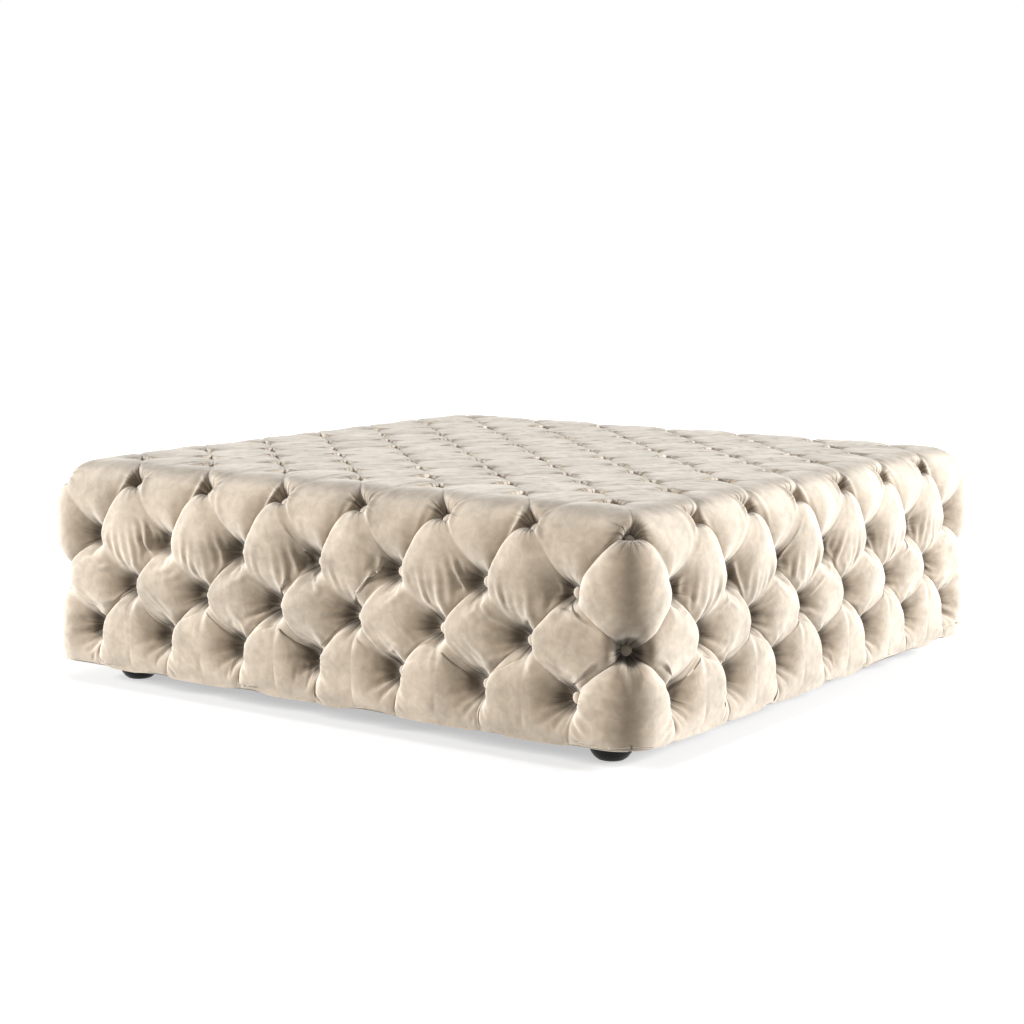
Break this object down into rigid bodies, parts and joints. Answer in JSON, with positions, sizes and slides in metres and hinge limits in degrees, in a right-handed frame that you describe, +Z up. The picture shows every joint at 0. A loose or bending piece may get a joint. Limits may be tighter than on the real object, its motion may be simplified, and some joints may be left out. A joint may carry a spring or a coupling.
{
  "type": "ottoman coffee table",
  "caption": "Low square ottoman coffee table, deep buttoned in velvet on its top and sides, on short tapered feet.",
  "frame": {"origin": "on the floor, under the middle of the ottoman", "axes": "+Z up, +X to the right side, -Y to the front"},
  "size_m": [1.22, 1.22, 0.397],
  "materials": {
    "velvet": "matte",
    "button_velvet": "matte",
    "twine": "matte",
    "foam": "matte",
    "dust_cloth": "matte",
    "foot_black": "satin",
    "zinc_steel": "satin",
    "plywood": "matte",
    "softwood": "matte"
  },
  "bodies": {
    "root": {"base_stretcher": "softwood", "bottom_rail_back": "softwood", "bottom_rail_front": "softwood", "bottom_rail_left": "softwood", "bottom_rail_right": "softwood", "buttons_back": "button_velvet", "buttons_corner": "button_velvet", "buttons_edge": "button_velvet", "buttons_front": "button_velvet", "buttons_left": "button_velvet", "buttons_right": "button_velvet", "buttons_top": "button_velvet", "corner_post_back_left": "softwood", "corner_post_back_right": "softwood", "corner_post_front_left": "softwood", "corner_post_front_right": "softwood", "deck_bearer_1": "softwood", "deck_bearer_2": "softwood", "deck_bearer_3": "softwood", "deck_bearer_4": "softwood", "deck_panel": "plywood", "dust_cover": "dust_cloth", "feet": "foot_black", "foam_back": "foam", "foam_front": "foam", "foam_left": "foam", "foam_right": "foam", "foam_top": "foam", "foot_bolts": "zinc_steel", "foot_inserts": "zinc_steel", "side_panel_back": "plywood", "side_panel_front": "plywood", "side_panel_left": "plywood", "side_panel_right": "plywood", "top_rail_back": "softwood", "top_rail_front": "softwood", "top_rail_left": "softwood", "top_rail_right": "softwood", "twine_back": "twine", "twine_corner": "twine", "twine_edge": "twine", "twine_front": "twine", "twine_left": "twine", "twine_right": "twine", "twine_top": "twine", "velvet_cover": "velvet"}
  },
  "joints": []
}
